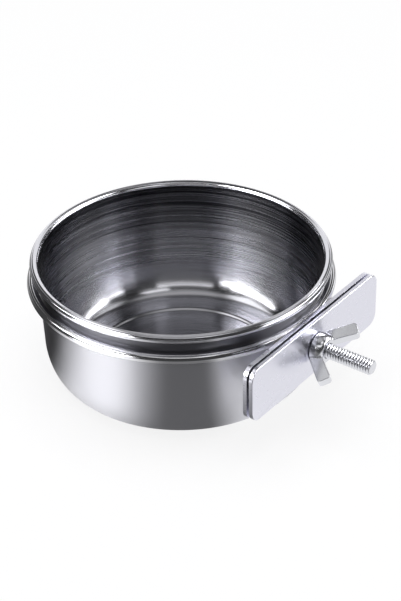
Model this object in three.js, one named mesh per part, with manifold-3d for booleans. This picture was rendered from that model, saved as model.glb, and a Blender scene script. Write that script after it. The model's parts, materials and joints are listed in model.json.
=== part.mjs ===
// Clamp-on food dish: a drawn stainless dish in a wire hoop, with a bolted two-plate clamp.
// Millimetres, +Z up. The origin is the middle of the dish's foot, and +X points out along the bolt.

import * as THREE from 'three';
import { mergeVertices } from 'three/addons/utils/BufferGeometryUtils.js';
import loadManifold from 'manifold-3d';

// Dish, drawn from one sheet and rolled outwards at the rim
const RIM_RADIUS = 62.5;
const DISH_HEIGHT = 54.7;
const SHEET = 0.7;
const BEAD_DIAMETER = 3.5;
const BEAD_SLIT = 0.35;
const WALL_DRAFT = 1.5;
const CORNER_WIDTH = 11.2;
const CORNER_HEIGHT = 18;
const FOOT_RADIUS = 38.5;
const FOOT_STEP = 0.8;
const FOOT_STEP_WIDTH = 2.4;

// Wire hoop round the dish, butt welded to a ring and set flat on the inner plate
const WIRE_DIAMETER = 4.2;
const HOOP_DROP = 10.2;
const HOOP_CLEARANCE = 0.4;
const HOOP_FLAT_DEPTH = 1.4;
const BUTT_WELD_RISE = 0.5;
const WELD_LENGTH = 7.5;
const WELD_HEIGHT = 3.4;

// Clamp plates, alike in outline
const PLATE_LENGTH = 89;
const PLATE_WIDTH = 24.4;
const PLATE_CORNER = 5;
const PLATE_EDGE = 0.35;
const INNER_PLATE_THICKNESS = 1.8;
const OUTER_PLATE_THICKNESS = 1.9;
const JAW_GAP = 0.9;

// Carriage bolt, quarter inch
const BOLT_DIAMETER = 6.35;
const BOLT_LENGTH = 31.3;
const BOLT_DROP = 9.6;
const BOLT_HEAD_DIAMETER = 14;
const BOLT_HEAD_HEIGHT = 2.8;
const BOLT_HEAD_EDGE = 0.7;
const BOLT_CHAMFER = 0.7;
const NECK_SETBACK = 0.3;
const BOLT_HOLE_CLEARANCE = 0.4;

// Forged wing nut, turned as it stands when it is screwed home
const NUT_BASE_DIAMETER = 12.7;
const NUT_TOP_DIAMETER = 8.6;
const NUT_HEIGHT = 5.4;
const NUT_FLANGE = 1.3;
const NUT_CHAMFER = 0.3;
const WING_TIP_RADIUS = 12.7;
const WING_TIP_HEIGHT = 11.1;
const WING_WIDTH = 5.6;
const WING_THICKNESS = 3.4;
const WING_CORNER = 1.7;
const WING_EDGE = 0.9;
const WING_TURN = 26.5;

// Clearance between pieces that lie against each other
const FIT_GAP = 0.3;

// Fineness of the round surfaces
const DISH_SIDES = 64;
const CORNER_STEPS = 6;
const BEAD_STEPS = 9;
const WIRE_SIDES = 12;
const BOLT_SIDES = 24;
const NUT_SIDES = 32;
const DOME_STEPS = 5;
const WELD_SIDES = 16;
const EDGE_STEPS = 2;
const OUTLINE_STEPS = 6;

const wasm = await loadManifold();
wasm.setup();

const radians = THREE.MathUtils.degToRad;
const QUARTER_TURN = Math.PI / 2;

// Sizes and places that follow from the ones above
const beadRadius = BEAD_DIAMETER / 2;
const beadCentre = new THREE.Vector2(RIM_RADIUS - beadRadius, DISH_HEIGHT - beadRadius);
const cornerTop = FOOT_STEP + CORNER_HEIGHT;
const wallTopRadius = RIM_RADIUS - BEAD_DIAMETER + SHEET;
const wallFootRadius = wallTopRadius - WALL_DRAFT;
const wireRadius = WIRE_DIAMETER / 2;
const boltRadius = BOLT_DIAMETER / 2;
const hoopHeight = DISH_HEIGHT - HOOP_DROP;
const hoopRadius = wallRadiusAt(hoopHeight) + HOOP_CLEARANCE + wireRadius;
const hoopReach = hoopRadius + wireRadius;
const hoopFlat = hoopReach - HOOP_FLAT_DEPTH;
const boltHeight = hoopHeight - BOLT_DROP;
const innerPlateBack = hoopFlat + FIT_GAP;
const outerPlateBack = innerPlateBack + INNER_PLATE_THICKNESS + JAW_GAP;
const outerPlateFront = outerPlateBack + OUTER_PLATE_THICKNESS;

// Outside radius of the dish's tapered wall at a height
function wallRadiusAt(height) {
  const rise = (height - cornerTop) / (beadCentre.y - cornerTop);
  return wallFootRadius + WALL_DRAFT * rise;
}

function metal(color, roughness) {
  return new THREE.MeshStandardMaterial({ color, roughness, metalness: 1 });
}

function piece(name, geometry, material) {
  const mesh = new THREE.Mesh(geometry, material);
  mesh.name = name;
  return mesh;
}

// Closed solid of a geometry, with its shared vertices merged and its empty triangles left out
function solidOf(geometry) {
  const bare = geometry.clone();
  bare.deleteAttribute('normal');
  bare.deleteAttribute('uv');
  const merged = mergeVertices(bare, 1e-4);
  const index = merged.index.array;
  const kept = [];
  for (let i = 0; i < index.length; i += 3) {
    const [a, b, c] = index.slice(i, i + 3);
    if (a !== b && b !== c && c !== a) kept.push(a, b, c);
  }
  const vertProperties = merged.attributes.position.array;
  const triVerts = Uint32Array.from(kept);
  return new wasm.Manifold(new wasm.Mesh({ numProp: 3, vertProperties, triVerts }));
}

function geometryOf(solid) {
  const { vertProperties, triVerts } = solid.getMesh();
  const geometry = new THREE.BufferGeometry();
  geometry.setAttribute('position', new THREE.BufferAttribute(vertProperties, 3));
  geometry.setIndex(new THREE.BufferAttribute(triVerts, 1));
  geometry.computeVertexNormals();
  return geometry;
}

// Points of an arc of a circle or an ellipse, from one angle in degrees to another
function arcPoints(centre, radiusX, radiusY, from, to, steps) {
  const points = [];
  for (let i = 0; i <= steps; i += 1) {
    const angle = radians(from + (to - from) * i / steps);
    points.push(new THREE.Vector2(centre.x + radiusX * Math.cos(angle), centre.y + radiusY * Math.sin(angle)));
  }
  return points;
}

// Solid of revolution about Z, from a profile of radius and height that starts and ends on the axis
function turned(profile, sides) {
  return new THREE.LatheGeometry(profile, sides).rotateX(QUARTER_TURN);
}

// Everything past a plane square to X, as a block that is larger than the dish
function spaceBeyond(x) {
  const size = 4 * RIM_RADIUS;
  return solidOf(new THREE.BoxGeometry(size, size, size).translate(x + size / 2, 0, hoopHeight));
}

// The sheet's outer face runs from the foot to the rim and inside the curl, its inner face back again.
function dishProfile() {
  const cornerCentre = new THREE.Vector2(wallFootRadius - CORNER_WIDTH, cornerTop);
  const stepEnd = FOOT_RADIUS + FOOT_STEP_WIDTH;
  const curlRadius = beadRadius - SHEET;
  const curlEnd = -THREE.MathUtils.radToDeg(Math.acos((BEAD_SLIT - curlRadius) / beadRadius));
  return [
    new THREE.Vector2(0, 0),
    new THREE.Vector2(FOOT_RADIUS, 0),
    new THREE.Vector2(stepEnd, FOOT_STEP),
    ...arcPoints(cornerCentre, CORNER_WIDTH, CORNER_HEIGHT, -90, 0, CORNER_STEPS),
    ...arcPoints(beadCentre, curlRadius, curlRadius, 180, curlEnd, BEAD_STEPS),
    ...arcPoints(beadCentre, beadRadius, beadRadius, curlEnd, 180, BEAD_STEPS),
    ...arcPoints(cornerCentre, CORNER_WIDTH - SHEET, CORNER_HEIGHT - SHEET, 0, -90, CORNER_STEPS),
    new THREE.Vector2(stepEnd, FOOT_STEP + SHEET),
    new THREE.Vector2(FOOT_RADIUS, SHEET),
    new THREE.Vector2(0, SHEET),
  ];
}

// Ring of round wire, with the lump of its butt weld on top and a flat where it lies on the plate
function hoopSolid() {
  const ring = new THREE.TorusGeometry(hoopRadius, wireRadius, WIRE_SIDES, DISH_SIDES);
  const lump = new THREE.SphereGeometry(wireRadius, WELD_SIDES, WELD_SIDES / 2);
  ring.translate(0, 0, hoopHeight);
  lump.translate(hoopRadius, 0, hoopHeight + BUTT_WELD_RISE);
  return solidOf(ring).add(solidOf(lump)).subtract(spaceBeyond(hoopFlat));
}

// Weld metal in the wedge that opens between hoop and plate at each end of the flat
function weldSolid(side) {
  const flatEnd = Math.sqrt(hoopReach ** 2 - hoopFlat ** 2);
  const bead = new THREE.SphereGeometry(1, WELD_SIDES, WELD_SIDES / 2);
  bead.scale(wireRadius, WELD_LENGTH / 2, WELD_HEIGHT / 2);
  bead.translate(hoopFlat, side * (flatEnd + WELD_LENGTH / 2), hoopHeight);
  const clearOfWire = new THREE.TorusGeometry(hoopRadius, wireRadius + FIT_GAP, WIRE_SIDES, DISH_SIDES);
  clearOfWire.translate(0, 0, hoopHeight);
  return solidOf(bead).subtract(solidOf(clearOfWire)).subtract(spaceBeyond(innerPlateBack - FIT_GAP));
}

function plateGeometry(thickness, hole) {
  const cornerX = PLATE_LENGTH / 2 - PLATE_CORNER;
  const cornerY = PLATE_WIDTH / 2 - PLATE_CORNER;
  const corners = [[1, -1, -90], [1, 1, 0], [-1, 1, 90], [-1, -1, 180]];
  const outline = new THREE.Shape();
  for (const [sideX, sideY, start] of corners) {
    const from = radians(start);
    outline.absarc(sideX * cornerX, sideY * cornerY, PLATE_CORNER, from, from + QUARTER_TURN, false);
  }
  outline.holes.push(hole);
  const settings = {
    depth: thickness - 2 * PLATE_EDGE,
    bevelThickness: PLATE_EDGE,
    bevelSize: PLATE_EDGE,
    bevelOffset: -PLATE_EDGE,
    bevelSegments: EDGE_STEPS,
    curveSegments: OUTLINE_STEPS,
  };
  return new THREE.ExtrudeGeometry(outline, settings).translate(0, 0, PLATE_EDGE);
}

// The inner plate's hole is square, so that the bolt's neck can't turn in it.
function innerPlateGeometry() {
  const half = boltRadius + FIT_GAP;
  const corners = [[-half, -half], [-half, half], [half, half], [half, -half]];
  const hole = new THREE.Path(corners.map(([x, y]) => new THREE.Vector2(x, y)));
  return plateGeometry(INNER_PLATE_THICKNESS, hole);
}

function outerPlateGeometry() {
  const hole = new THREE.Path();
  hole.absarc(0, 0, boltRadius + BOLT_HOLE_CLEARANCE, 0, 2 * Math.PI, true);
  return plateGeometry(OUTER_PLATE_THICKNESS, hole);
}

// The head's flat side is at z = 0 and the shank runs up from it, plain at the thread's outside diameter.
function boltSolid() {
  const headRadius = BOLT_HEAD_DIAMETER / 2;
  const domeCentre = new THREE.Vector2(0, -BOLT_HEAD_EDGE);
  const profile = [
    ...arcPoints(domeCentre, headRadius, BOLT_HEAD_HEIGHT - BOLT_HEAD_EDGE, -90, 0, DOME_STEPS),
    new THREE.Vector2(headRadius, 0),
    new THREE.Vector2(boltRadius, 0),
    new THREE.Vector2(boltRadius, BOLT_LENGTH - BOLT_CHAMFER),
    new THREE.Vector2(boltRadius - BOLT_CHAMFER, BOLT_LENGTH),
    new THREE.Vector2(0, BOLT_LENGTH),
  ];
  profile[0].x = 0;
  const neckEnd = FIT_GAP + INNER_PLATE_THICKNESS - NECK_SETBACK;
  const neckLength = neckEnd + BOLT_HEAD_EDGE;
  const neck = new THREE.BoxGeometry(BOLT_DIAMETER, BOLT_DIAMETER, neckLength);
  neck.translate(0, 0, neckEnd - neckLength / 2);
  return solidOf(turned(profile, BOLT_SIDES)).add(solidOf(neck));
}

// Outline of one wing beside the axis, as radius and height: two straight edges and a squared, rounded tip
function wingOutline() {
  const outerRoot = new THREE.Vector2(NUT_BASE_DIAMETER / 2 - NUT_CHAMFER, NUT_CHAMFER);
  const innerRoot = new THREE.Vector2(NUT_TOP_DIAMETER / 2, NUT_HEIGHT - WING_EDGE);
  const tip = new THREE.Vector2(WING_TIP_RADIUS, WING_TIP_HEIGHT);
  const lean = tip.clone().sub(outerRoot.clone().lerp(innerRoot, 0.5)).normalize();
  const across = new THREE.Vector2(lean.y, -lean.x).multiplyScalar(WING_WIDTH / 2);
  const outerTip = tip.clone().add(across);
  const innerTip = tip.clone().sub(across);
  const outline = new THREE.Shape();
  outline.moveTo(boltRadius, NUT_CHAMFER);
  outline.lineTo(outerRoot.x, outerRoot.y);
  roundCorner(outline, outerRoot, outerTip, innerTip, WING_CORNER);
  roundCorner(outline, outerTip, innerTip, innerRoot, WING_CORNER);
  outline.lineTo(innerRoot.x, innerRoot.y);
  outline.lineTo(boltRadius, innerRoot.y);
  return outline;
}

function roundCorner(outline, before, corner, after, radius) {
  const start = corner.clone().add(before.clone().sub(corner).setLength(radius));
  const end = corner.clone().add(after.clone().sub(corner).setLength(radius));
  outline.lineTo(start.x, start.y);
  outline.quadraticCurveTo(corner.x, corner.y, end.x, end.y);
}

function wingSolid(turn) {
  const settings = {
    depth: WING_THICKNESS - 2 * WING_EDGE,
    bevelThickness: WING_EDGE,
    bevelSize: WING_EDGE,
    bevelOffset: -WING_EDGE,
    bevelSegments: EDGE_STEPS,
    curveSegments: OUTLINE_STEPS,
  };
  const wing = new THREE.ExtrudeGeometry(wingOutline(), settings);
  wing.translate(0, 0, WING_EDGE - WING_THICKNESS / 2);
  return solidOf(wing.rotateX(QUARTER_TURN).rotateZ(turn));
}

// Domed hub and two wings, with the bore left plain
function wingNutSolid() {
  const baseRadius = NUT_BASE_DIAMETER / 2;
  const topRadius = NUT_TOP_DIAMETER / 2;
  const domeCentre = new THREE.Vector2(topRadius, NUT_FLANGE);
  const profile = [
    new THREE.Vector2(0, 0),
    new THREE.Vector2(baseRadius - NUT_CHAMFER, 0),
    new THREE.Vector2(baseRadius, NUT_CHAMFER),
    ...arcPoints(domeCentre, baseRadius - topRadius, NUT_HEIGHT - NUT_FLANGE, 0, 90, DOME_STEPS),
    new THREE.Vector2(0, NUT_HEIGHT),
  ];
  const bore = new THREE.CylinderGeometry(boltRadius + FIT_GAP, boltRadius + FIT_GAP, 4 * NUT_HEIGHT, BOLT_SIDES);
  const wings = wingSolid(0).add(wingSolid(Math.PI));
  return solidOf(turned(profile, NUT_SIDES)).add(wings).subtract(solidOf(bore.rotateX(QUARTER_TURN)));
}

// The clamp's own Z runs out along the bolt, its X along the plates and its Y up.
function clampGroup() {
  const innerPlate = piece('inner_plate', innerPlateGeometry(), metal(0xd6d7de, 0.16));
  const outerPlate = piece('outer_plate', outerPlateGeometry(), metal(0xdcdde4, 0.14));
  const bolt = piece('carriage_bolt', geometryOf(boltSolid()), metal(0xd8d9dc, 0.22));
  const nut = piece('wing_nut', geometryOf(wingNutSolid()), metal(0xdedfe2, 0.24));
  innerPlate.position.z = innerPlateBack;
  outerPlate.position.z = outerPlateBack;
  bolt.position.z = innerPlateBack - FIT_GAP;
  nut.position.z = outerPlateFront + FIT_GAP;
  nut.rotation.z = radians(WING_TURN);
  const group = new THREE.Group();
  group.position.z = boltHeight;
  group.quaternion.set(0.5, 0.5, 0.5, 0.5);
  group.add(innerPlate, outerPlate, bolt, nut);
  return group;
}

const dish = new THREE.Group();
dish.add(
  piece('bowl', turned(dishProfile(), DISH_SIDES), metal(0xc4c5cb, 0.34)),
  piece('holder_ring', geometryOf(hoopSolid()), metal(0xd4d5da, 0.12)),
  piece('weld_bead_left', geometryOf(weldSolid(-1)), metal(0xb9b8b6, 0.4)),
  piece('weld_bead_right', geometryOf(weldSolid(1)), metal(0xb9b8b6, 0.4)),
  clampGroup(),
);

export default dish;
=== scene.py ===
"""Clamp-on food dish: a satin stainless dish in a wire hoop with a bolted two-plate clamp.

Everything is in metres, in the frame's own axes: +Z up, +X out along the clamp bolt.
"""

import json
import math

import bmesh
import bpy
from bpy.props import FloatProperty, FloatVectorProperty, PointerProperty
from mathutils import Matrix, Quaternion, Vector

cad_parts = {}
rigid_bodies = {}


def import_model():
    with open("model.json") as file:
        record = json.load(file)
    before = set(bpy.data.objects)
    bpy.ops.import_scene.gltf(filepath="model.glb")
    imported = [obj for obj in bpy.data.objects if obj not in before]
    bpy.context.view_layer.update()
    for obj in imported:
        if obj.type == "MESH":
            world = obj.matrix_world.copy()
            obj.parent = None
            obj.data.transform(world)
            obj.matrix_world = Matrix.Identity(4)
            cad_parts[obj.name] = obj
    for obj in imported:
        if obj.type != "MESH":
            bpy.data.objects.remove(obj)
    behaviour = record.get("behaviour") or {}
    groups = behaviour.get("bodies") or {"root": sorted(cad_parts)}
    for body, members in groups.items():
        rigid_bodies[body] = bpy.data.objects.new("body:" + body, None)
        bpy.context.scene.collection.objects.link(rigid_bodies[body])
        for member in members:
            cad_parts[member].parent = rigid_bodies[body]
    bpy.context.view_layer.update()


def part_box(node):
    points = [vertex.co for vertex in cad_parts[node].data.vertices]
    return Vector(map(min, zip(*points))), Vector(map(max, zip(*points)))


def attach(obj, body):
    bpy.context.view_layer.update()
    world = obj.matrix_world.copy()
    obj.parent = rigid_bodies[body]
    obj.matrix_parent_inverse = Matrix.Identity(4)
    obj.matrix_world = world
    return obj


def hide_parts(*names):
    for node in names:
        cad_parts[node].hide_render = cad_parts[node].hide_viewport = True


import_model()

bl_info = {
    "name": "Clamp-on Food Dish",
    "version": (1, 0, 0),
    "blender": (4, 5, 0),
    "location": "3D View > Sidebar > Food Dish",
    "description": "Models a food dish, its wire hoop and its clamp, with their finishes and a studio",
    "category": "Object",
}

MM = 0.001

# Boxes of the frame's nodes, which the defaults below are taken from
BOWL_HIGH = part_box("bowl")[1]
HOOP_LOW, HOOP_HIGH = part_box("holder_ring")
INNER_LOW, INNER_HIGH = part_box("inner_plate")
OUTER_LOW, OUTER_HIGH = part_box("outer_plate")
BOLT_LOW, BOLT_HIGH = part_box("carriage_bolt")
NUT_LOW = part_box("wing_nut")[0]
BOLT_AXIS_HEIGHT = (BOLT_LOW.z + BOLT_HIGH.z) / 2

# Fineness of the surfaces
DISH_STEPS = 192
FLOOR_RINGS, STEP_RINGS, CORNER_RINGS, WALL_RINGS, CURL_RINGS = 12, 8, 24, 10, 30
HOOP_STEPS = 256
WIRE_STEPS = 28
THREAD_STEPS = 48
ROD_STEPS = 96
DOME_RINGS = 12
HOLE_STEPS = 64
REMESH_VOXEL = 0.16 * MM
MERGE = 0.002 * MM

# Small forms of the clamp: room round the bolt's square neck and in the nut's bore, how far the neck ends
# below the inner plate's face, and the thickness of the bolt head's edge
NECK_ROOM = 0.3 * MM
NECK_SINK = 0.3 * MM
BORE_ROOM = 0.15 * MM
HEAD_EDGE = 0.7 * MM

# Edges that are sharper than this are rounded, in degrees
SHARP_EDGE = 50

# Where nearly all values of a noise lie, and of the sum of two
NOISE_LOW, NOISE_HIGH = 0.3, 0.7
SUM_LOW, SUM_HIGH = 0.7, 1.3

# Heights between which the floor's polish turns into the wall's
POLISH_LOW, POLISH_HIGH = 1.5 * MM, 17 * MM

# The coarser polishing lines' spacing against that of the fine ones, and how many lines the floor has
# against the wall: fewer, so that its rings show although it is seen at a low angle
COARSE_LINES = 2.2
FLOOR_LINES = 0.4

# Camera at the photograph's angle: degrees, metres, and millimetres of lens and sensor
CAMERA_AZIMUTH = 37.362
CAMERA_ELEVATION = 33.0
CAMERA_ROLL = -1.199
CAMERA_DISTANCE = 0.8098
CAMERA_TARGET = (2.546 * MM, 4.081 * MM, 31.10 * MM)
CAMERA_LENS = 115.75
CAMERA_SENSOR = 36
CAMERA_SHIFT = (0.0127, -0.0031)
CAMERA_NEAR, CAMERA_FAR = 0.01, 50

# Floor: its side, how far it lies below the foot, and the share of it that is plain white to the camera
FLOOR_SIDE = 12
FLOOR_DROP = 0.05 * MM
FLOOR_WHITE = 0.85

# Overhead lamp in metres and watts, and the world's level for matt surfaces
LAMP_HEIGHT = 1.2
LAMP_SIDE = 1.0
LAMP_POWER = 11.0
WORLD_MATT = 0.5

# Light tent that reflections see: its size, the height that elevations are counted from and its dim level
TENT_RADIUS = 0.5
TENT_HEIGHT = 0.5
TENT_MIDDLE = 32 * MM
TENT_DIM = 0.05

# Softboxes and lit floor of the tent: heading from the camera (positive to its right), half width and
# softness of that edge, elevation, half height and softness of that edge, all in degrees, and level
SOFTBOXES = (
    ("left softbox", -57, 20, 4, 23, 7, 3, 9.2),
    ("left upper softbox", -76, 26, 4, 31, 7, 3, 8.6),
    ("right softbox", 77, 19, 4, 23, 7, 3, 6.0),
    ("right upper softbox", 102, 22, 4, 31, 8, 3, 7.4),
    ("right top softbox", 112, 22, 5, 55, 7, 4, 0.8),
    ("front strip softbox", -3, 29, 3, 42, 6, 2, 1.35),
    ("clamp softbox", 36, 18, 4, 60, 7, 3, 1.4),
    ("back top softbox", -109, 29, 5, 59, 9, 5, 1.7),
    ("roof", 0, 200, 4, 90, 20, 8, 0.45),
    ("backdrop", 180, 34, 5, 8, 33, 4, 0.95),
    ("floor left", -51, 24, 20, -18, 13, 7, 1.4),
    ("floor right", 75, 54, 10, -46, 41, 4, 0.88),
    ("floor behind", 180, 60, 15, -46, 41, 4, 0.3),
    ("floor in front", -2, 40, 12, -46, 41, 4, 0.14),
)


# Settings


def size(label, description, default):
    """Length that a user may change, in metres."""
    return FloatProperty(
        name=label, description=description, default=default, min=0.0, precision=5, unit="LENGTH"
    )


def angle(label, description, degrees):
    """Angle that a user may change, given here in degrees."""
    return FloatProperty(
        name=label, description=description, default=math.radians(degrees), unit="ROTATION"
    )


def linear(code):
    """Linear colour of an sRGB hex value."""
    values = [int(code[i:i + 2], 16) / 255 for i in (1, 3, 5)]
    return [v / 12.92 if v <= 0.04045 else ((v + 0.055) / 1.055) ** 2.4 for v in values]


def colour(label, description, code):
    """Colour that a user may change, given here as an sRGB hex value."""
    return FloatVectorProperty(
        name=label, description=description, default=linear(code), min=0.0, max=1.0,
        subtype="COLOR", size=3,
    )


class DishSizes(bpy.types.PropertyGroup):
    """Drawn dish with its rolled rim."""

    rim_radius: size("Rim radius", "Outside radius of the rolled rim", BOWL_HIGH.x)
    height: size("Height", "Height from the foot to the top of the rim", BOWL_HIGH.z)
    sheet: size("Sheet", "Thickness of the sheet", 0.7 * MM)
    bead: size("Bead", "Diameter of the rolled rim's bead", 3.5 * MM)
    curl: angle("Curl", "Turn of the sheet from the wall to the end of the curl", 293.6)
    draft: size("Draft", "How far the wall leans out between its corner and its rim", 1.5 * MM)
    corner_width: size("Corner width", "Width of the rounded corner between floor and wall", 11.2 * MM)
    corner_height: size("Corner height", "Height of the rounded corner between floor and wall", 18 * MM)
    foot_radius: size("Foot radius", "Radius of the flat foot", 38.5 * MM)
    foot_step: size("Foot step", "How far the foot is pressed below the rest of the floor", 0.8 * MM)
    foot_step_width: size("Foot step width", "Width of the step round the foot", 2.4 * MM)


class HoopSizes(bpy.types.PropertyGroup):
    """Wire hoop and its butt weld."""

    wire: size("Wire", "Diameter of the wire", 4.2 * MM)
    flat: size("Flat", "Distance from the dish's axis to the flat on the inner plate", HOOP_HIGH.x)
    weld_rise: size("Weld rise", "How far the butt weld's lump stands up from the wire", 0.5 * MM)


class ClampSizes(bpy.types.PropertyGroup):
    """Plates, carriage bolt and wing nut."""

    plate_corner: size("Plate corner", "Radius of the plates' corners", 5 * MM)
    plate_edge: size("Plate edge", "Radius of the plates' tumbled edges", 0.35 * MM)
    bolt: size("Bolt", "Outside diameter of the thread", 6.35 * MM)
    pitch: size("Pitch", "Pitch of the thread", 1.27 * MM)
    thread_depth: size("Thread depth", "Depth of the thread", 0.72 * MM)
    bolt_chamfer: size("Bolt chamfer", "Chamfer at the bolt's end", 0.6 * MM)
    head: size("Head", "Diameter of the bolt's round head", 14 * MM)
    head_height: size("Head height", "Height of the bolt's round head", 2.8 * MM)
    hole_clearance: size("Hole clearance", "Room round the bolt in the outer plate's hole", 0.4 * MM)
    nut_base: size("Nut base", "Diameter of the wing nut's base", 12.7 * MM)
    nut_top: size("Nut top", "Diameter of the wing nut's top face", 8.6 * MM)
    nut_height: size("Nut height", "Height of the wing nut's hub", 5.4 * MM)
    wing_tip_radius: size("Wing tip radius", "Distance of the wing tips from the bolt's axis", 13.2 * MM)
    wing_tip_height: size("Wing tip height", "Height of the wing tips above the nut's base", 11.7 * MM)
    wing_width: size("Wing width", "Width of the wings", 5.6 * MM)
    wing_thickness: size("Wing thickness", "Thickness of the wings", 3.8 * MM)
    wing_turn: angle("Wing turn", "How far the wings are turned from level", 26.5)


class FinishColours(bpy.types.PropertyGroup):
    """Colours of the metals and of the studio."""

    stainless: colour("Stainless", "Satin stainless of the dish", "#c8c8ce")
    # Painted shade: the inside wall darkens to this colour towards the rim
    brushed: colour("Brushed stainless", "Painted shade on the inside wall, darker up to the rim", "#2c2c30")
    # Painted shade in the strip between the rolled rim and the hoop
    under_rim_shade: colour("Under-rim shade", "Painted shade in the strip between the rim and the hoop", "#7a7a80")
    rim: colour("Rim", "Polished rolled rim", "#dedee4")
    wire: colour("Wire", "Bright drawn wire", "#ececf0")
    plate: colour("Plate", "Polished clamp plates", "#e4e4ee")
    plating: colour("Plating", "Plated bolt and wing nut", "#e2e3e8")
    # Painted shade in the thread's roots, darker towards the bolt's axis
    thread_root_shade: colour("Thread root", "Painted shade in the roots of the bolt's thread", "#909096")
    weld: colour("Weld", "Weld metal", "#bdbbb8")
    floor: colour("Floor", "Studio floor", "#f4f4f6")


class FoodDish(bpy.types.PropertyGroup):
    """All that a user may change."""

    dish: PointerProperty(type=DishSizes)
    hoop: PointerProperty(type=HoopSizes)
    clamp: PointerProperty(type=ClampSizes)
    colours: PointerProperty(type=FinishColours)


# Modelling helpers


def edit(mode="EDIT"):
    """Switch the active piece to edit mode, or back to object mode."""
    bpy.ops.object.mode_set(mode=mode)


def deselect():
    """Leave every object unselected, the frame's own nodes too."""
    if bpy.context.object and bpy.context.object.mode != "OBJECT":
        edit("OBJECT")
    bpy.ops.object.select_all(action="DESELECT")


def newest(name):
    """Name the piece that was just added, with its place and turn taken into its mesh."""
    piece = bpy.context.object
    piece.name = name
    piece.data.name = name
    bpy.ops.object.transform_apply(location=True, rotation=True, scale=True)
    return piece


def pick(piece):
    """Make a piece the only one selected, and the active one."""
    deselect()
    piece.select_set(True)
    bpy.context.view_layer.objects.active = piece


def select_parts(piece, domain, test):
    """In edit mode, select only the verts, edges or faces of a piece that pass a test."""
    pick(piece)
    edit()
    bpy.context.tool_settings.mesh_select_mode = [domain == d for d in ("verts", "edges", "faces")]
    bpy.ops.mesh.select_all(action="DESELECT")
    mesh = bmesh.from_edit_mesh(piece.data)
    for part in getattr(mesh, domain):
        part.select_set(bool(test(part)))
    mesh.select_flush_mode()
    bmesh.update_edit_mesh(piece.data)


def modify(piece, kind, **settings):
    """Add a modifier with its settings and apply it."""
    modifier = piece.modifiers.new(kind.title(), kind)
    for key, value in settings.items():
        setattr(modifier, key, value)
    pick(piece)
    bpy.ops.object.modifier_apply(modifier=modifier.name)


def combine(piece, other, operation):
    """Join, cut or intersect a piece with another one, which is used up."""
    modify(piece, "BOOLEAN", object=other, operation=operation, solver="EXACT")
    bpy.data.objects.remove(other)
    if not piece.data.polygons:
        raise RuntimeError(f"{piece.name} has no faces left")


def draw_line(name, points):
    """New piece that is one open line: a plane merged to its middle, then extruded point by point."""
    deselect()
    bpy.ops.mesh.primitive_plane_add(size=MM, location=points[0])
    piece = newest(name)
    edit()
    bpy.context.tool_settings.mesh_select_mode = [True, False, False]
    bpy.ops.mesh.select_all(action="SELECT")
    bpy.ops.mesh.merge(type="CENTER")
    for before, after in zip(points, points[1:]):
        step = Vector(after) - Vector(before)
        bpy.ops.mesh.extrude_vertices_move(TRANSFORM_OT_translate={"value": step})
    return piece


def spin_line(name, points, axis, steps):
    """New piece turned from a line about an axis through the origin, its seam and poles closed."""
    piece = draw_line(name, points)
    bpy.ops.mesh.select_all(action="SELECT")
    bpy.ops.mesh.spin(steps=steps, angle=math.tau, center=(0, 0, 0), axis=axis)
    close_seams()
    return piece


def close_seams():
    """Merge what coincides on the piece in edit mode and turn its faces outwards."""
    bpy.ops.mesh.select_all(action="SELECT")
    bpy.ops.mesh.remove_doubles(threshold=MERGE)
    bpy.ops.mesh.normals_make_consistent(inside=False)
    edit("OBJECT")


def arc(centre, radius_x, radius_y, start, end, steps):
    """Points of an arc of a circle or ellipse in a plane, from one angle in degrees to another."""
    turns = [math.radians(start + (end - start) * i / steps) for i in range(steps + 1)]
    return [(centre[0] + radius_x * math.cos(t), centre[1] + radius_y * math.sin(t)) for t in turns]


def slice_off(piece, point, normal):
    """Cut off what lies past a plane and fill the cut."""
    pick(piece)
    edit()
    bpy.ops.mesh.select_all(action="SELECT")
    bpy.ops.mesh.bisect(
        plane_co=point, plane_no=normal, use_fill=True, clear_outer=True, clear_inner=False,
        threshold=MERGE / 4,
    )
    close_seams()


def soften(piece, degrees):
    """Shade smooth, with edges kept sharp past an angle."""
    pick(piece)
    bpy.ops.object.shade_smooth_by_angle(angle=math.radians(degrees))


def paint(piece, *materials):
    """Give a piece its materials, of which the first covers it."""
    for material in materials:
        piece.data.materials.append(material)


def assign(piece, slot, test):
    """Give one of the piece's materials to the faces that pass a test."""
    select_parts(piece, "faces", test)
    piece.active_material_index = slot
    bpy.ops.object.material_slot_assign()
    edit("OBJECT")


def seat(piece, body, slot, *nodes):
    """Let a finished piece stand for its nodes and move with its body; slot is not used."""
    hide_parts(*nodes)
    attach(piece, body)


# Material helpers


def add_node(tree, kind, links=None, **settings):
    """Add a node with its settings.

    links gives an input a value, a node's output, or a node, of which it takes the first output.
    """
    node = tree.nodes.new(kind)
    for key, value in settings.items():
        setattr(node, key, value)
    for key, source in (links or {}).items():
        if isinstance(source, bpy.types.Node):
            source = source.outputs[0]
        if isinstance(source, bpy.types.NodeSocket):
            tree.links.new(source, node.inputs[key])
        else:
            node.inputs[key].default_value = source
    return node


def new_material(name):
    """New node material and its tree, with no nodes yet."""
    material = bpy.data.materials.new(name)
    material.use_nodes = True
    material.node_tree.nodes.clear()
    return material, material.node_tree


def turned_place(tree):
    """Distance from the dish's axis, height, and heading as a unit vector, by the piece's coordinates."""
    place = add_node(tree, "ShaderNodeTexCoord").outputs["Object"]
    flat = add_node(tree, "ShaderNodeVectorMath", {0: place, 1: (1, 1, 0)}, operation="MULTIPLY")
    reach = add_node(tree, "ShaderNodeVectorMath", {0: flat}, operation="LENGTH").outputs["Value"]
    heading = add_node(tree, "ShaderNodeVectorMath", {0: flat}, operation="NORMALIZE")
    height = add_node(tree, "ShaderNodeSeparateXYZ", {0: place}).outputs["Z"]
    return reach, height, heading


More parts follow.
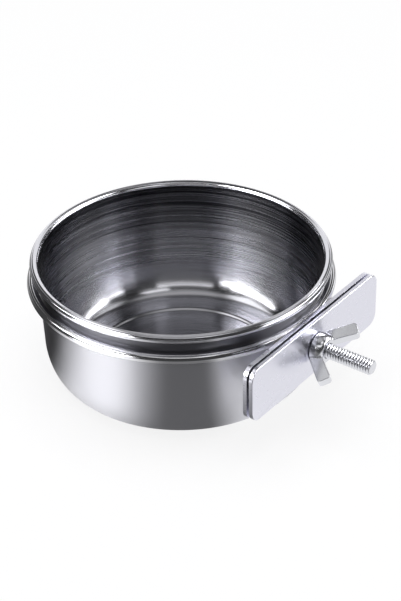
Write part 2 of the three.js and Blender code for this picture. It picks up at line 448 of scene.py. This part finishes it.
def turned_lines(tree, along, heading, spacing, run):
    """Noise drawn out round the dish's axis, as a lathe or a polishing wheel leaves it.

    along runs across the lines in metres, spacing is their distance, and run is how many breaks a line
    has in one turn.
    """
    lines = add_node(tree, "ShaderNodeMath", {0: along, 1: 1 / spacing}, operation="MULTIPLY")
    breaks = add_node(
        tree, "ShaderNodeVectorMath", {0: heading, "Scale": run / math.tau}, operation="SCALE"
    )
    parts = add_node(tree, "ShaderNodeSeparateXYZ", {0: breaks}).outputs
    spot = add_node(tree, "ShaderNodeCombineXYZ", {"X": parts["X"], "Y": parts["Y"], "Z": lines})
    return add_node(tree, "ShaderNodeTexNoise", {"Vector": spot, "Scale": 1.0, "Detail": 3.0})


def turned_stainless(name, tint, floor, wall, streak, anisotropy, spacing, run, depth, painted_shade):
    """Stainless steel, polished on the lathe.

    Fine lines run round the axis, so reflections smear across them into soft fans and upright bands, and
    single deeper lines catch the light on their own. floor and wall are the roughness of the two, and
    streak is the share by which the lines change it. Real lines lie about 0.05 mm apart, too fine to
    show, so they are drawn coarser: spacing apart, run breaks to a turn and depth deep. painted_shade is
    a darker colour painted in as shade, the two heights between which it takes over, and how much the
    lines break that up.
    """
    material, tree = new_material(name)
    reach, height, heading = turned_place(tree)
    along = add_node(
        tree, "ShaderNodeMath", {0: reach, 1: FLOOR_LINES, 2: height}, operation="MULTIPLY_ADD"
    )
    fine = turned_lines(tree, along, heading, spacing, run)
    coarse = turned_lines(tree, along, heading, spacing * COARSE_LINES, run / 2)
    both = add_node(tree, "ShaderNodeMath", {0: fine, 1: coarse}, operation="ADD")
    zone = add_node(
        tree, "ShaderNodeMapRange",
        {"Value": height, "From Min": POLISH_LOW, "From Max": POLISH_HIGH, "To Min": floor, "To Max": wall},
    )
    vary = add_node(
        tree, "ShaderNodeMapRange",
        {
            "Value": both, "From Min": SUM_LOW, "From Max": SUM_HIGH,
            "To Min": 1 - streak, "To Max": 1 + streak,
        },
    )
    rough = add_node(tree, "ShaderNodeMath", {0: zone, 1: vary}, operation="MULTIPLY")
    bump = add_node(tree, "ShaderNodeBump", {"Height": both, "Strength": 1.0, "Distance": depth})
    tangent = add_node(tree, "ShaderNodeTangent", direction_type="RADIAL", axis="Z")
    # Painted shade: a darker base colour that takes over between two heights
    dark, low, high, mark = painted_shade
    change = add_node(
        tree, "ShaderNodeMapRange",
        {
            "Value": height, "From Min": low, "From Max": high,
            "To Min": -mark / 2, "To Max": 1 - mark / 2,
        },
    )
    share = add_node(
        tree, "ShaderNodeMath", {0: fine, 1: mark, 2: change}, operation="MULTIPLY_ADD", use_clamp=True
    )
    base = add_node(
        tree, "ShaderNodeMix", {"Factor": share, "A": (*tint, 1.0), "B": (*dark, 1.0)}, data_type="RGBA"
    )
    shader = add_node(
        tree, "ShaderNodeBsdfPrincipled",
        {
            "Base Color": base.outputs["Result"], "Metallic": 1.0, "Roughness": rough, "Normal": bump,
            "Anisotropic": anisotropy, "Anisotropic Rotation": 0.25, "Tangent": tangent,
        },
    )
    add_node(tree, "ShaderNodeOutputMaterial", {"Surface": shader})
    return material


def bright_metal(name, tint, roughness, spread, grain, depth, root_shade=None):
    """Bright metal with faint handling marks, which soften and ruffle its reflections unevenly.

    Noise of a grain size in metres changes the roughness by spread and is depth deep. root_shade paints
    shade into the roots of a thread: the height of its axis along X, the distances from that axis at
    which the dark colour ends and the tint is full, and the dark colour.
    """
    material, tree = new_material(name)
    place = add_node(tree, "ShaderNodeTexCoord").outputs["Object"]
    marks = add_node(tree, "ShaderNodeTexNoise", {"Vector": place, "Scale": 1 / grain, "Detail": 4.0})
    rough = add_node(
        tree, "ShaderNodeMapRange",
        {
            "Value": marks, "From Min": NOISE_LOW, "From Max": NOISE_HIGH,
            "To Min": roughness - spread, "To Max": roughness + spread,
        },
    )
    bump = add_node(tree, "ShaderNodeBump", {"Height": marks, "Strength": 1.0, "Distance": depth})
    base = (*tint, 1.0)
    # Painted shade: the thread's roots darken towards the bolt's axis
    if root_shade:
        axis, low, high, dark = root_shade
        arm = add_node(tree, "ShaderNodeVectorMath", {0: place, 1: (0, 0, axis)}, operation="SUBTRACT")
        across = add_node(tree, "ShaderNodeVectorMath", {0: arm, 1: (0, 1, 1)}, operation="MULTIPLY")
        reach = add_node(tree, "ShaderNodeVectorMath", {0: across}, operation="LENGTH").outputs["Value"]
        share = add_node(tree, "ShaderNodeMapRange", {"Value": reach, "From Min": low, "From Max": high})
        base = add_node(
            tree, "ShaderNodeMix", {"Factor": share, "A": (*dark, 1.0), "B": base}, data_type="RGBA"
        ).outputs["Result"]
    shader = add_node(
        tree, "ShaderNodeBsdfPrincipled",
        {"Base Color": base, "Metallic": 1.0, "Roughness": rough, "Normal": bump},
    )
    add_node(tree, "ShaderNodeOutputMaterial", {"Surface": shader})
    return material


def lined_wire(name, tint, roughness, spread, centre, radius, lines, depth):
    """Bright round wire or rolled bead round the dish's axis.

    The die or the rollers leave lines along it, which split each reflection into thin bright and dark
    ones. centre is the section's distance from the axis and its height, radius is its own, and lines is
    how many go round it: fewer than on real wire, where they are too fine to show.
    """
    wear_spacing, wear_breaks = 0.6 * MM, 10
    material, tree = new_material(name)
    reach, height, heading = turned_place(tree)
    out = add_node(tree, "ShaderNodeMath", {0: reach, 1: centre[0]}, operation="SUBTRACT")
    up = add_node(tree, "ShaderNodeMath", {0: height, 1: centre[1]}, operation="SUBTRACT")
    around = add_node(tree, "ShaderNodeMath", {0: up, 1: out}, operation="ARCTAN2")
    along = add_node(tree, "ShaderNodeMath", {0: around, 1: radius}, operation="MULTIPLY")
    wear = turned_lines(tree, along, heading, wear_spacing, wear_breaks)
    turn = add_node(tree, "ShaderNodeMath", {0: around, 1: lines, 2: wear}, operation="MULTIPLY_ADD")
    ridge = add_node(tree, "ShaderNodeMath", {0: turn}, operation="SINE")
    rough = add_node(
        tree, "ShaderNodeMapRange",
        {
            "Value": wear, "From Min": NOISE_LOW, "From Max": NOISE_HIGH,
            "To Min": roughness - spread, "To Max": roughness + spread,
        },
    )
    bump = add_node(tree, "ShaderNodeBump", {"Height": ridge, "Strength": 1.0, "Distance": depth})
    shader = add_node(
        tree, "ShaderNodeBsdfPrincipled",
        {"Base Color": (*tint, 1.0), "Metallic": 1.0, "Roughness": rough, "Normal": bump},
    )
    add_node(tree, "ShaderNodeOutputMaterial", {"Surface": shader})
    return material


# Pieces


class FOODDISH_OT_dish(bpy.types.Operator):
    """Draw the dish's sheet, turn it about its axis and give it its thickness"""

    bl_idname = "food_dish.dish"
    bl_label = "Dish"

    def execute(self, context):
        sizes = context.scene.food_dish.dish
        colours = context.scene.food_dish.colours
        piece = spin_line("dish", self.profile(sizes), (0, 0, 1), DISH_STEPS)
        modify(piece, "SOLIDIFY", thickness=sizes.sheet, offset=0.0, use_even_offset=True, use_rim=True)
        soften(piece, degrees=40)
        # Satin stainless: broad upright bands of light, and painted shade in a darker strip close under the
        # rim
        strip_low, strip_high = sizes.height - 12.2 * MM, sizes.height - 10.2 * MM
        outside = turned_stainless(
            "Satin stainless outside", colours.stainless, floor=0.3, wall=0.3, streak=0.05,
            anisotropy=0.97, spacing=0.25 * MM, run=12, depth=0.0005 * MM,
            painted_shade=(colours.under_rim_shade, strip_low, strip_high, 0.05),
        )
        # Brushed steel inside: a bright floor, and painted shade that darkens the wall in broken rings up
        # to the rim
        shade_low, shade_high = 8 * MM, 52 * MM
        inside = turned_stainless(
            "Brushed stainless inside", colours.stainless, floor=0.11, wall=0.27, streak=0.2,
            anisotropy=1.0, spacing=0.6 * MM, run=3, depth=0.004 * MM,
            painted_shade=(colours.brushed, shade_low, shade_high, 1.2),
        )
        # Rolled stainless: a bright bead whose reflections are thin lines along it
        bead_middle = (sizes.rim_radius - sizes.bead / 2, sizes.height - sizes.bead / 2)
        bead_reach = sizes.bead * 0.52
        bead = lined_wire(
            "Polished rolled rim", colours.rim, roughness=0.13, spread=0.03, centre=bead_middle,
            radius=sizes.bead / 2, lines=9, depth=0.06 * MM,
        )
        paint(piece, outside, inside, bead)
        assign(piece, 1, self.looks_inward)
        assign(piece, 2, lambda face: (self.section(face) - Vector(bead_middle)).length < bead_reach)
        seat(piece, "bowl", "dish_steel", "bowl")
        return {"FINISHED"}

    @staticmethod
    def looks_inward(face):
        """Whether a face looks up or towards the dish's axis."""
        outward = Vector((*face.calc_center_median().xy.normalized(), -1))
        return face.normal.dot(outward) < 0

    @staticmethod
    def section(face):
        """Distance of a face from the dish's axis, and its height."""
        middle = face.calc_center_median()
        return Vector((middle.xy.length, middle.z))

    @staticmethod
    def profile(sizes):
        """Middle line of the sheet, from the middle of the foot to the end of the curl."""
        half = sizes.sheet / 2
        bead = sizes.bead / 2
        centre = (sizes.rim_radius - bead, sizes.height - bead)
        corner_top = sizes.foot_step + sizes.corner_height
        wall_foot = sizes.rim_radius - sizes.bead + sizes.sheet - sizes.draft
        corner = (wall_foot - sizes.corner_width, corner_top)
        floor = [(sizes.foot_radius * i / FLOOR_RINGS, half) for i in range(FLOOR_RINGS)]
        step = [
            (
                sizes.foot_radius + sizes.foot_step_width * share,
                half + sizes.foot_step * (1 - math.cos(math.pi * share)) / 2,
            )
            for share in (i / STEP_RINGS for i in range(STEP_RINGS + 1))
        ]
        bend = arc(corner, sizes.corner_width - half, sizes.corner_height - half, -90, 0, CORNER_RINGS)
        rolled = arc(centre, bead - half, bead - half, 180, 180 - math.degrees(sizes.curl), CURL_RINGS)
        foot, top = Vector(bend[-1]), Vector(rolled[0])
        wall = [tuple(foot.lerp(top, i / WALL_RINGS)) for i in range(1, WALL_RINGS)]
        return [(r, 0, z) for r, z in floor + step + bend + wall + rolled]


class FOODDISH_OT_hoop(bpy.types.Operator):
    """Bend the wire hoop, weld its ends and set it flat for the inner plate"""

    bl_idname = "food_dish.hoop"
    bl_label = "Wire hoop"

    def execute(self, context):
        sizes = context.scene.food_dish.hoop
        wire = sizes.wire / 2
        radius = -HOOP_LOW.x - wire
        height = HOOP_LOW.z + wire
        deselect()
        bpy.ops.mesh.primitive_torus_add(
            major_radius=radius, minor_radius=wire, major_segments=HOOP_STEPS, minor_segments=WIRE_STEPS,
            location=(0, 0, height),
        )
        hoop = newest("wire_hoop")
        bpy.ops.mesh.primitive_uv_sphere_add(
            segments=32, ring_count=20, radius=wire, location=(radius, 0, height + sizes.weld_rise)
        )
        combine(hoop, newest("butt_weld"), "UNION")
        slice_off(hoop, (sizes.flat, 0, 0), (1, 0, 0))
        soften(hoop, degrees=35)
        # Drawn stainless wire: nearly a mirror, its reflections drawn out into thin lines
        material = lined_wire(
            "Bright drawn wire", context.scene.food_dish.colours.wire, roughness=0.1, spread=0.03,
            centre=(radius, height), radius=wire, lines=9, depth=0.06 * MM,
        )
        paint(hoop, material)
        seat(hoop, "holder", "wire_steel", "holder_ring")
        return {"FINISHED"}


class FOODDISH_OT_welds(bpy.types.Operator):
    """Lay a rippled weld bead at each end of the hoop's flat"""

    bl_idname = "food_dish.welds"
    bl_label = "Weld beads"

    def execute(self, context):
        # Weld metal: greyer and rougher than the wire, with a scaly skin
        material = bright_metal(
            "Weld metal", context.scene.food_dish.colours.weld, roughness=0.35, spread=0.1,
            grain=0.8 * MM, depth=0.02 * MM,
        )
        for side, node in (("left", "weld_bead_left"), ("right", "weld_bead_right")):
            bead = self.bead(f"weld_{side}", *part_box(node))
            paint(bead, material)
            seat(bead, "holder", "weld_metal", node)
        return {"FINISHED"}

    @staticmethod
    def bead(name, low, high):
        """Row of overlapping drops, smaller towards both ends, run together into one bead."""
        drops = 6
        row, drop_length, taper = 0.78, 0.24, 0.8
        middle = (low + high) / 2
        reach = (high - low) / 2
        deselect()
        for i in range(drops):
            along = (i + 0.5) / drops * 2 - 1
            swell = math.sqrt(1 - taper * along * along)
            bpy.ops.mesh.primitive_uv_sphere_add(
                segments=24, ring_count=14, radius=1,
                location=(middle.x, middle.y + along * reach.y * row, middle.z),
                scale=(reach.x * swell, reach.y * drop_length, reach.z * swell),
            )
            newest(f"drop_{i}")
        for i in range(drops):
            bpy.data.objects[f"drop_{i}"].select_set(True)
        bpy.ops.object.join()
        bead = newest(name)
        modify(bead, "REMESH", mode="VOXEL", voxel_size=REMESH_VOXEL)
        modify(bead, "SMOOTH", factor=0.5, iterations=3)
        soften(bead, degrees=60)
        return bead


class FOODDISH_OT_plates(bpy.types.Operator):
    """Cut the two clamp plates, round their corners, pierce them and tumble their edges"""

    bl_idname = "food_dish.plates"
    bl_label = "Clamp plates"

    def execute(self, context):
        sizes = context.scene.food_dish.clamp
        # Polished stainless plate: pale, even and softly mirroring, with hardly a wave in it
        material = bright_metal(
            "Polished plate", context.scene.food_dish.colours.plate, roughness=0.28, spread=0.01,
            grain=3 * MM, depth=0.0004 * MM,
        )
        square, hole = sizes.bolt / 2 + NECK_ROOM, sizes.bolt / 2 + sizes.hole_clearance
        inner = self.plate("inner_clamp_plate", INNER_LOW, INNER_HIGH, sizes, square, 4)
        outer = self.plate("outer_clamp_plate", OUTER_LOW, OUTER_HIGH, sizes, hole, HOLE_STEPS)
        paint(inner, material)
        paint(outer, material)
        seat(inner, "holder", "plate_steel", "inner_plate")
        seat(outer, "outer_plate", "plate_steel", "outer_plate")
        return {"FINISHED"}

    @staticmethod
    def plate(name, low, high, sizes, hole, sides):
        """One plate with a round hole, or a square one where the hole has four sides."""
        middle = (low + high) / 2
        thickness = high.x - low.x
        deselect()
        bpy.ops.mesh.primitive_cube_add(size=1, location=middle, scale=high - low)
        piece = newest(name)
        select_parts(
            piece, "edges", lambda e: abs((e.verts[0].co - e.verts[1].co).x) > 0.5 * thickness
        )
        bpy.ops.mesh.bevel(offset=sizes.plate_corner, segments=14, affect="EDGES", offset_type="OFFSET")
        edit("OBJECT")
        across = hole * math.sqrt(2) if sides == 4 else hole
        deselect()
        bpy.ops.mesh.primitive_cylinder_add(
            vertices=sides, radius=across, depth=4 * thickness, location=middle,
            rotation=(math.pi / 4 if sides == 4 else 0, math.pi / 2, 0),
        )
        combine(piece, newest("punch"), "DIFFERENCE")
        modify(
            piece, "BEVEL", width=sizes.plate_edge, segments=4, limit_method="ANGLE",
            angle_limit=math.radians(SHARP_EDGE), harden_normals=True,
        )
        soften(piece, degrees=SHARP_EDGE)
        modify(piece, "WEIGHTED_NORMAL", keep_sharp=True)
        return piece


class FOODDISH_OT_bolt(bpy.types.Operator):
    """Roll the bolt's thread, chamfer its end and join its square neck and round head"""

    bl_idname = "food_dish.bolt"
    bl_label = "Carriage bolt"

    def execute(self, context):
        sizes = context.scene.food_dish.clamp
        colours = context.scene.food_dish.colours
        under_head = BOLT_LOW.x + sizes.head_height
        spare = 2 * sizes.pitch
        thread = self.thread(sizes, under_head - spare, BOLT_HIGH.x + spare)
        combine(thread, self.blank(sizes, under_head), "INTERSECT")
        combine(thread, self.neck(sizes, under_head), "UNION")
        combine(thread, self.head(sizes, under_head), "UNION")
        thread.location.z = BOLT_AXIS_HEIGHT
        pick(thread)
        bolt = newest("carriage_bolt_threaded")
        soften(bolt, degrees=32)
        # Bright plating: sharp glints on the crests, and painted shade that greys the roots
        root = sizes.bolt / 2 - sizes.thread_depth
        root_shade_low, root_shade_high = root + 0.02 * MM, root + 0.22 * MM
        rolled = bright_metal(
            "Bright plated thread", colours.plating, roughness=0.3, spread=0.04, grain=1.5 * MM,
            depth=0.003 * MM, root_shade=(BOLT_AXIS_HEIGHT, root_shade_low, root_shade_high, colours.thread_root_shade),
        )
        # The same plating on the plain head, neck and end face, smoother and with no painted shade
        plain = bright_metal(
            "Bright plated bolt", colours.plating, roughness=0.2, spread=0.04, grain=1.5 * MM,
            depth=0.003 * MM,
        )
        paint(bolt, rolled, plain)
        thread_end = BOLT_HIGH.x - 0.05 * MM
        assign(bolt, 1, lambda face: not INNER_HIGH.x < face.calc_center_median().x < thread_end)
        seat(bolt, "holder", "plated_bolt", "carriage_bolt")
        return {"FINISHED"}

    @staticmethod
    def thread(sizes, start, end):
        """Screwed tube of one rounded thread form, closed at both ends."""
        crest = sizes.bolt / 2
        root = crest - sizes.thread_depth
        pitch = sizes.pitch
        # Flank from root to crest, as shares of the pitch and radii; the other flank mirrors it
        flank = [
            (0, root), (0.08, root + 0.02 * MM), (0.13, root + 0.08 * MM), (0.4, crest - 0.07 * MM),
            (0.45, crest - 0.015 * MM),
        ]
        form = flank + [(0.5, crest)] + [(1 - share, radius) for share, radius in reversed(flank)]
        piece = draw_line("thread", [(start + pitch * share, 0, radius) for share, radius in form])
        edit("OBJECT")
        turns = math.ceil((end - start) / pitch)
        modify(
            piece, "SCREW", axis="X", screw_offset=pitch, iterations=turns, steps=THREAD_STEPS,
            render_steps=THREAD_STEPS, use_merge_vertices=True, merge_threshold=MERGE,
        )
        pick(piece)
        edit()
        close_seams()
        slice_off(piece, (end - pitch, 0, 0), (1, 0, 0))
        slice_off(piece, (start + pitch, 0, 0), (-1, 0, 0))
        return piece

    @staticmethod
    def blank(sizes, under_head):
        """Plain chamfered rod that the thread is rolled on, a hair thicker than its crests."""
        radius = sizes.bolt / 2 + 0.01 * MM
        start = under_head - 0.5 * MM
        end = BOLT_HIGH.x
        tip = radius - sizes.bolt_chamfer
        line = [
            (start, 0, 0), (start, 0, radius), (end - sizes.bolt_chamfer, 0, radius),
            (end - 0.06 * MM, 0, tip), (end, 0, tip - 0.1 * MM), (end, 0, 0),
        ]
        return spin_line("blank", line, (1, 0, 0), ROD_STEPS)

    @staticmethod
    def neck(sizes, under_head):
        """Square neck that keeps the bolt from turning in the inner plate."""
        start, end = under_head - HEAD_EDGE, INNER_HIGH.x - NECK_SINK
        deselect()
        bpy.ops.mesh.primitive_cube_add(
            size=1, location=((start + end) / 2, 0, 0), scale=(end - start, sizes.bolt, sizes.bolt)
        )
        neck = newest("neck")
        modify(neck, "BEVEL", width=0.4 * MM, segments=3)
        return neck

    @staticmethod
    def head(sizes, under_head):
        """Low round head with a thin edge."""
        radius = sizes.head / 2
        rounding = 0.15 * MM
        dome = arc((under_head - HEAD_EDGE, 0), -(sizes.head_height - HEAD_EDGE), radius, 0, 90, DOME_RINGS)
        rim = [(under_head - rounding, radius), (under_head, radius - rounding), (under_head, 0)]
        return spin_line("head", [(x, 0, r) for x, r in dome + rim], (1, 0, 0), ROD_STEPS)


class FOODDISH_OT_wing_nut(bpy.types.Operator):
    """Forge the wing nut: hub and wings in one, softened together, then bored"""

    bl_idname = "food_dish.wing_nut"
    bl_label = "Wing nut"

    def execute(self, context):
        sizes = context.scene.food_dish.clamp
        nut = self.hub(sizes)
        combine(nut, self.wing(sizes, sizes.wing_turn), "UNION")
        combine(nut, self.wing(sizes, sizes.wing_turn + math.pi), "UNION")
        modify(nut, "REMESH", mode="VOXEL", voxel_size=REMESH_VOXEL)
        modify(nut, "SMOOTH", factor=0.5, iterations=5)
        deselect()
        bpy.ops.mesh.primitive_cylinder_add(
            vertices=HOLE_STEPS, radius=sizes.bolt / 2 + BORE_ROOM, depth=4 * sizes.nut_height,
            rotation=(0, math.pi / 2, 0),
        )
        combine(nut, newest("bore"), "DIFFERENCE")
        nut.location = (NUT_LOW.x, 0, BOLT_AXIS_HEIGHT)
        pick(nut)
        nut = newest("forged_wing_nut")
        soften(nut, degrees=45)
        # Plated forging: bright, with the slightly uneven skin that the die leaves
        material = bright_metal(
            "Plated forging", context.scene.food_dish.colours.plating, roughness=0.22, spread=0.03,
            grain=1.2 * MM, depth=0.002 * MM,
        )
        paint(nut, material)
        seat(nut, "wing_nut", "plated_nut", "wing_nut")
        return {"FINISHED"}

    @staticmethod
    def hub(sizes):
        """Domed hub on its flat base."""
        base, top = sizes.nut_base / 2, sizes.nut_top / 2
        flange, chamfer = 1.3 * MM, 0.3 * MM
        dome = arc((flange, top), sizes.nut_height - flange, base - top, 90, 0, DOME_RINGS)
        line = [(0, 0), (0, base - chamfer), (chamfer, base)] + dome + [(sizes.nut_height, 0)]
        return spin_line("hub", [(x, 0, r) for x, r in line], (1, 0, 0), ROD_STEPS)

    @staticmethod
    def wing(sizes, turn):
        """One straight wing with a squared, rounded tip, turned about the bolt."""
        base_inset, top_inset = 0.3 * MM, 0.9 * MM
        root_share = 0.9
        tip_corner, edge_rounding = 1.5 * MM, 1.2 * MM
        base_edge = Vector((base_inset, sizes.nut_base / 2 - base_inset))
        top_edge = Vector((sizes.nut_height - top_inset, sizes.nut_top / 2))
        root = (base_edge + top_edge) / 2
        tip = Vector((sizes.wing_tip_height, sizes.wing_tip_radius))
        lean = (tip - root).normalized()
        across = Vector((-lean.y, lean.x)) * sizes.wing_width / 2
        near, far = root + across * root_share, root - across * root_share
        inside = sizes.bolt / 2
        ends = [tip + across, tip - across]
        outline = [(near.x, inside), near, *ends, far, (far.x, inside)]
        depth = sizes.wing_thickness
        piece = draw_line("wing", [(x, y, -depth / 2) for x, y in outline])
        bpy.ops.mesh.select_all(action="SELECT")
        bpy.ops.mesh.edge_face_add()
        bpy.ops.mesh.extrude_region_move(TRANSFORM_OT_translate={"value": (0, 0, depth)})
        close_seams()
        select_parts(
            piece, "edges",
            lambda e: all(min((v.co.xy - end).length for end in ends) < MERGE for v in e.verts)
            and abs((e.verts[0].co - e.verts[1].co).z) > depth / 2,
        )
        bpy.ops.mesh.bevel(offset=tip_corner, segments=6, affect="EDGES")
        edit("OBJECT")
        modify(
            piece, "BEVEL", width=edge_rounding, segments=5, limit_method="ANGLE",
            angle_limit=math.radians(SHARP_EDGE),
        )
        piece.rotation_euler.x = turn
        pick(piece)
        return newest("wing")


# Studio


class FOODDISH_OT_studio(bpy.types.Operator):
    """Set the floor, the light tent, the world, the lamp and the camera"""

    bl_idname = "food_dish.studio"
    bl_label = "Studio"

    def execute(self, context):
        self.floor(context.scene.food_dish.colours.floor)
        self.tent()
        self.world(context.scene)
        self.lamp()
        self.camera(context.scene)
        context.scene.view_settings.view_transform = "Standard"
        return {"FINISHED"}

    @staticmethod
    def floor(tint):
        """Pale floor: white to the camera, with a part of its own shading left for the soft shadow."""
        material, tree = new_material("Pale studio floor")
        path = add_node(tree, "ShaderNodeLightPath").outputs
        share = add_node(
            tree, "ShaderNodeMath", {0: path["Is Camera Ray"], 1: FLOOR_WHITE}, operation="MULTIPLY"
        )
        matt = add_node(tree, "ShaderNodeBsdfDiffuse", {"Color": (*tint, 1.0)})
        white = add_node(tree, "ShaderNodeEmission", {"Color": (1, 1, 1, 1), "Strength": 1.0})
        mix = add_node(tree, "ShaderNodeMixShader", {0: share, 1: matt, 2: white})
        add_node(tree, "ShaderNodeOutputMaterial", {"Surface": mix})
        deselect()
        bpy.ops.mesh.primitive_plane_add(size=FLOOR_SIDE, location=(0, 0, -FLOOR_DROP))
        floor = newest("studio_floor")
        paint(floor, material)

    @staticmethod
    def tent():
        """Dim tent with softboxes and lit floor patches, which only reflections see."""
        points = [(MM, 0, 0), (TENT_RADIUS, 0, 0), (TENT_RADIUS, 0, TENT_HEIGHT), (MM, 0, TENT_HEIGHT)]
        tent = spin_line("light_tent", points, (0, 0, 1), ROD_STEPS)
        material, tree = new_material("Light tent")
        place = add_node(tree, "ShaderNodeTexCoord").outputs["Object"]
        parts = add_node(tree, "ShaderNodeSeparateXYZ", {0: place}).outputs
        flat = add_node(tree, "ShaderNodeVectorMath", {0: place, 1: (1, 1, 0)}, operation="MULTIPLY")
        reach = add_node(tree, "ShaderNodeVectorMath", {0: flat}, operation="LENGTH").outputs["Value"]
        rise = add_node(tree, "ShaderNodeMath", {0: parts["Z"], 1: TENT_MIDDLE}, operation="SUBTRACT")
        heading = add_node(tree, "ShaderNodeMath", {0: parts["Y"], 1: parts["X"]}, operation="ARCTAN2")
        elevation = add_node(tree, "ShaderNodeMath", {0: rise, 1: reach}, operation="ARCTAN2")
        camera_heading = math.radians(CAMERA_AZIMUTH - 90)
        level = TENT_DIM
        for name, toward, wide, side_edge, up, tall, end_edge, strength in SOFTBOXES:
            shares = []
            for turn, middle, half, edge in (
                (heading, math.radians(toward) + camera_heading, wide, side_edge),
                (elevation, math.radians(up), tall, end_edge),
            ):
                off = add_node(tree, "ShaderNodeMath", {0: turn, 1: middle}, operation="SUBTRACT")
                near = add_node(tree, "ShaderNodeMath", {0: off, 1: math.pi, 2: -math.pi}, operation="WRAP")
                apart = add_node(tree, "ShaderNodeMath", {0: near}, operation="ABSOLUTE")
                shares.append(add_node(
                    tree, "ShaderNodeMapRange",
                    {
                        "Value": apart, "From Min": math.radians(half - edge),
                        "From Max": math.radians(half + edge), "To Min": 1.0, "To Max": 0.0,
                    },
                    interpolation_type="SMOOTHSTEP",
                ))
            share = add_node(tree, "ShaderNodeMath", {0: shares[0], 1: shares[1]}, operation="MULTIPLY")
            level = add_node(
                tree, "ShaderNodeMath", {0: share, 1: strength, 2: level}, operation="MULTIPLY_ADD",
                label=name,
            )
        glow = add_node(tree, "ShaderNodeEmission", {"Color": (1, 1, 1, 1), "Strength": level})
        add_node(tree, "ShaderNodeOutputMaterial", {"Surface": glow})
        paint(tent, material)
        for ray in ("camera", "diffuse", "shadow", "transmission", "volume_scatter"):
            setattr(tent, f"visible_{ray}", False)

    @staticmethod
    def world(scene):
        """White world for the camera and for reflections, softer for the light on matt surfaces."""
        world = bpy.data.worlds.new("Studio")
        world.use_nodes = True
        tree = world.node_tree
        tree.nodes.clear()
        path = add_node(tree, "ShaderNodeLightPath").outputs
        seen = add_node(
            tree, "ShaderNodeMath", {0: path["Is Camera Ray"], 1: path["Is Glossy Ray"]},
            operation="MAXIMUM",
        )
        shown = add_node(
            tree, "ShaderNodeMath", {0: seen, 1: path["Is Transmission Ray"]}, operation="MAXIMUM"
        )
        level = add_node(tree, "ShaderNodeMapRange", {"Value": shown, "To Min": WORLD_MATT, "To Max": 1.0})
        sky = add_node(tree, "ShaderNodeBackground", {"Color": (1, 1, 1, 1), "Strength": level})
        add_node(tree, "ShaderNodeOutputWorld", {"Surface": sky})
        scene.world = world

    @staticmethod
    def lamp():
        """Large soft lamp overhead for the shadow under the dish."""
        deselect()
        bpy.ops.object.light_add(type="AREA", location=(0, 0, LAMP_HEIGHT))
        lamp = bpy.context.object
        lamp.name = "overhead_softbox"
        lamp.data.size = LAMP_SIDE
        lamp.data.energy = LAMP_POWER
        lamp.visible_glossy = False

    @staticmethod
    def camera(scene):
        """Camera at the photograph's angle, slightly rolled as it was held."""
        turn, tilt = math.radians(CAMERA_AZIMUTH), math.radians(CAMERA_ELEVATION)
        flat = math.cos(tilt)
        back = Vector((math.sin(turn) * flat, -math.cos(turn) * flat, math.sin(tilt)))
        bpy.ops.object.camera_add(location=Vector(CAMERA_TARGET) + back * CAMERA_DISTANCE)
        camera = bpy.context.object
        camera.name = "photograph_camera"
        camera.rotation_mode = "QUATERNION"
        roll = Quaternion((0, 0, 1), math.radians(CAMERA_ROLL))
        camera.rotation_quaternion = (-back).to_track_quat("-Z", "Y") @ roll
        camera.data.lens = CAMERA_LENS
        camera.data.sensor_width = CAMERA_SENSOR
        camera.data.shift_x, camera.data.shift_y = CAMERA_SHIFT
        camera.data.clip_start, camera.data.clip_end = CAMERA_NEAR, CAMERA_FAR
        scene.camera = camera


class FOODDISH_PT_panel(bpy.types.Panel):
    """Pieces of the food dish and its studio"""

    bl_idname = "FOODDISH_PT_panel"
    bl_label = "Food Dish"
    bl_space_type = "VIEW_3D"
    bl_region_type = "UI"
    bl_category = "Food Dish"

    def draw(self, context):
        settings = context.scene.food_dish
        for operator in OPERATORS:
            self.layout.operator(operator.bl_idname)
        for group in ("dish", "hoop", "clamp", "colours"):
            box = self.layout.box()
            box.label(text=group.title())
            values = getattr(settings, group)
            for key in values.__annotations__:
                box.prop(values, key)


OPERATORS = (
    FOODDISH_OT_dish, FOODDISH_OT_hoop, FOODDISH_OT_welds, FOODDISH_OT_plates, FOODDISH_OT_bolt,
    FOODDISH_OT_wing_nut, FOODDISH_OT_studio,
)
CLASSES = (DishSizes, HoopSizes, ClampSizes, FinishColours, FoodDish, *OPERATORS, FOODDISH_PT_panel)


def register():
    """Register the classes and give the scene its settings."""
    for cls in CLASSES:
        bpy.utils.register_class(cls)
    bpy.types.Scene.food_dish = PointerProperty(type=FoodDish)


def unregister():
    """Take the settings and the classes away again."""
    del bpy.types.Scene.food_dish
    for cls in reversed(CLASSES):
        bpy.utils.unregister_class(cls)


def main():
    """Make every piece and the studio."""
    register()
    bpy.ops.food_dish.dish()
    bpy.ops.food_dish.hoop()
    bpy.ops.food_dish.welds()
    bpy.ops.food_dish.plates()
    bpy.ops.food_dish.bolt()
    bpy.ops.food_dish.wing_nut()
    bpy.ops.food_dish.studio()


if __name__ == "__main__":
    main()
